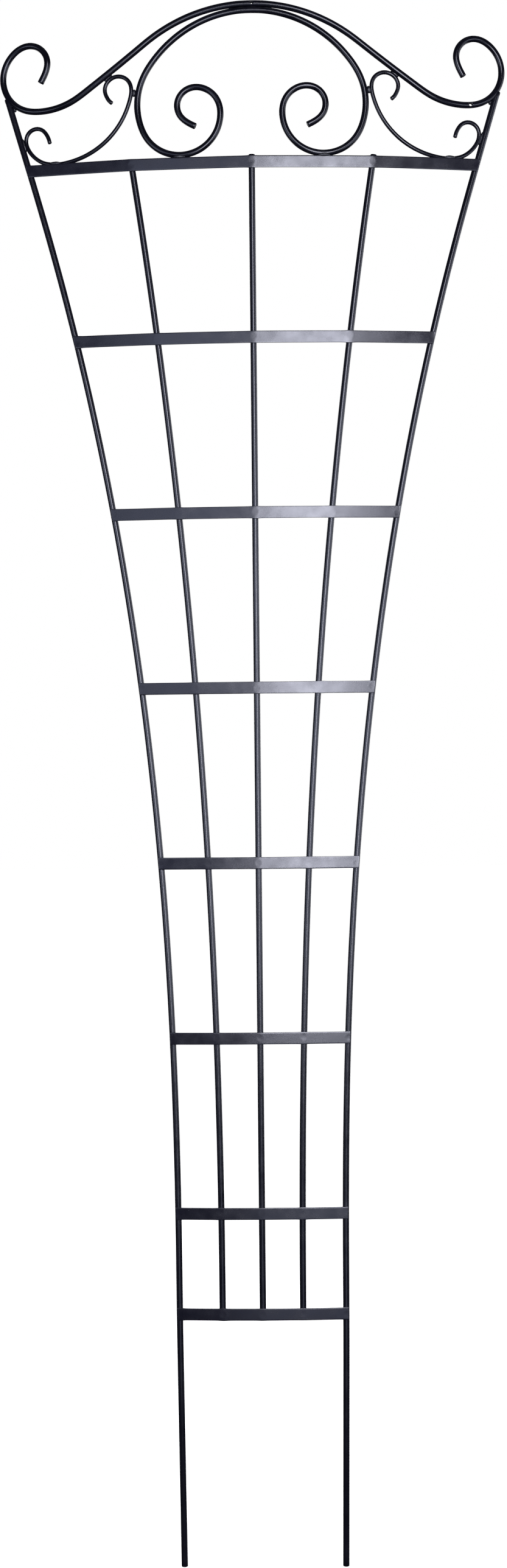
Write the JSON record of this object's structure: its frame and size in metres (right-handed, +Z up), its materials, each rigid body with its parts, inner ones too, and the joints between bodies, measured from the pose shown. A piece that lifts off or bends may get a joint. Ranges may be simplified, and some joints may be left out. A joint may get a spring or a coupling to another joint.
{
  "type": "garden trellis panel",
  "caption": "Fan-shaped welded metal trellis panel for climbing plants: upright rods behind flat cross strips, a scrolled top, and two legs that run on as ground stakes.",
  "frame": {"origin": "on the ground midway between the two stake ends, and midway between the front and the back of the bowed panel", "axes": "+Z up, +X to the right seen from the front, the front (the side of the flat strips, and the bulge of the bow) faces -Y"},
  "size_m": [0.6862, 0.0626, 2.1019],
  "materials": {
    "coat": "satin black powder coat on steel",
    "weld": "weld bead under the same black powder coat, duller"
  },
  "bodies": {
    "root": {"crest_rod": "coat", "arch_rod": "coat", "middle_rod": "coat", "left_leg": "coat", "left_inner_rod": "coat", "left_side_scroll": "coat", "right_leg": "coat", "right_inner_rod": "coat", "right_side_scroll": "coat", "cross_bar_1": "coat", "cross_bar_2": "coat", "cross_bar_3": "coat", "cross_bar_4": "coat", "cross_bar_5": "coat", "cross_bar_6": "coat", "cross_bar_7": "coat", "cross_bar_8": "coat", "crest_to_arch_weld": "weld", "left_crest_to_leg_weld": "weld", "left_scroll_to_crest_weld": "weld", "left_scroll_to_arch_weld": "weld", "left_scroll_to_leg_weld": "weld", "left_scroll_to_bar_weld": "weld", "left_arch_to_bar_weld": "weld", "right_crest_to_leg_weld": "weld", "right_scroll_to_crest_weld": "weld", "right_scroll_to_arch_weld": "weld", "right_scroll_to_leg_weld": "weld", "right_scroll_to_bar_weld": "weld", "right_arch_to_bar_weld": "weld"}
  },
  "joints": []
}
